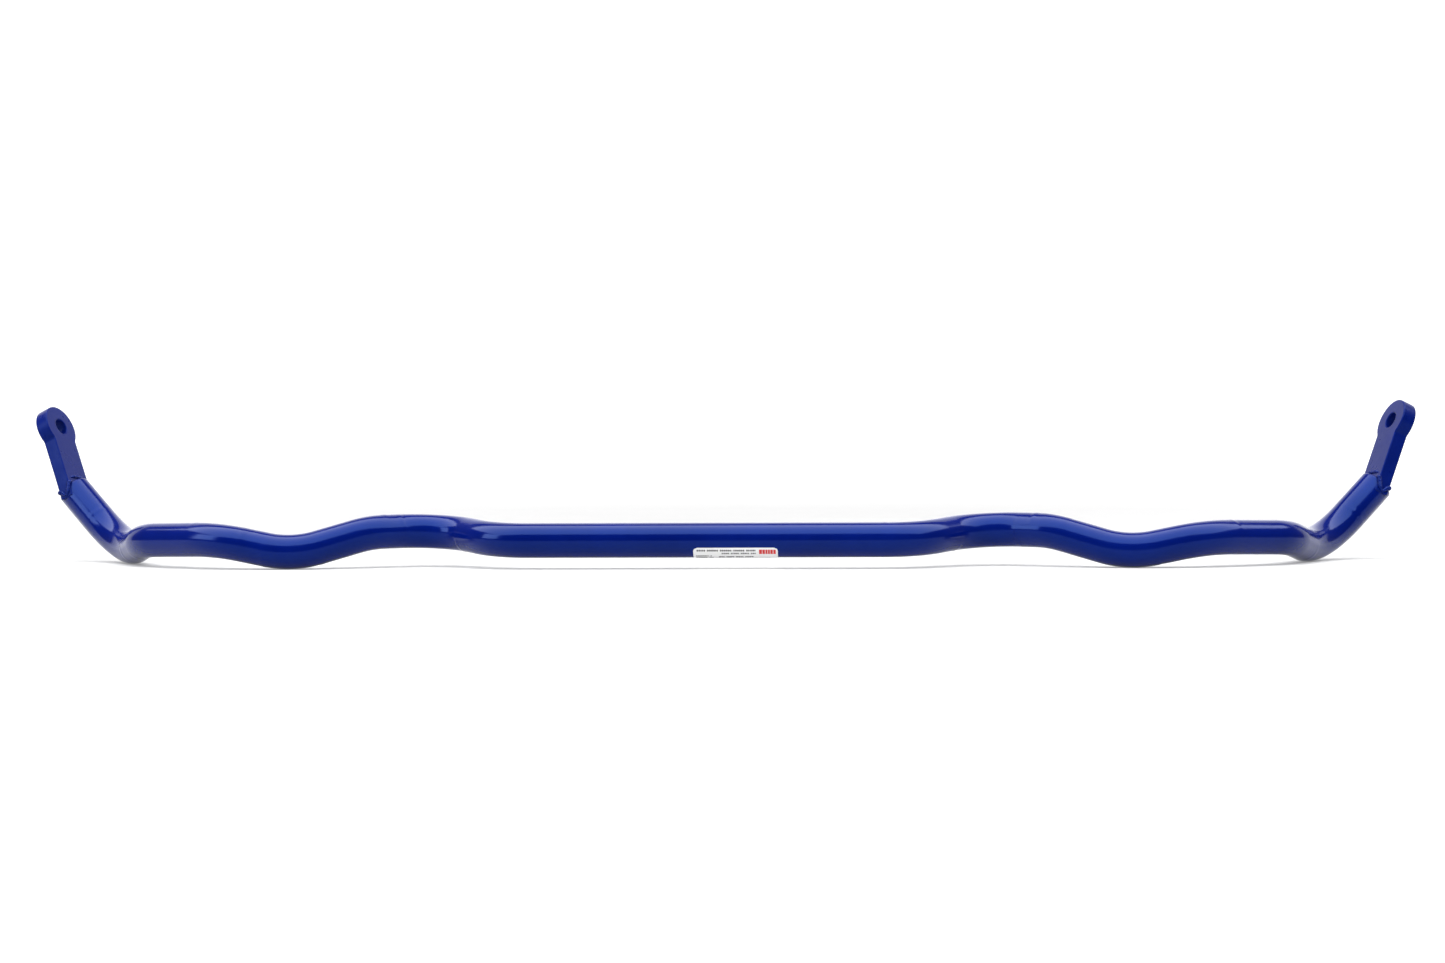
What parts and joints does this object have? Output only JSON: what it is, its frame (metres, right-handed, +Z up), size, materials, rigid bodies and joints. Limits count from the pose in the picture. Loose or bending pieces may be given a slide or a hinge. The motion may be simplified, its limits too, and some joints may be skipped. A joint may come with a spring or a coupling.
{
  "type": "stabiliser bar",
  "caption": "Bent tubular stabiliser bar with a slotted-in flat lug and one drop-link hole at each end, painted glossy blue.",
  "frame": {"origin": "on the ground, midway along and midway through the depth of the bar", "axes": "+X along the bar towards its right end, +Y from the centre section back to the arms, +Z up from the ground the bar rests on"},
  "size_m": [1.0774, 0.1804, 0.1219],
  "materials": {
    "blue_paint": "high gloss royal blue paint over steel",
    "label_film": "satin white self-adhesive film with grey print"
  },
  "bodies": {
    "root": {"bar_tube": "blue_paint", "left_end_lug": "blue_paint", "right_end_lug": "blue_paint", "left_inner_weld": "blue_paint", "left_outer_weld": "blue_paint", "right_inner_weld": "blue_paint", "right_outer_weld": "blue_paint", "label": "label_film"}
  },
  "joints": []
}
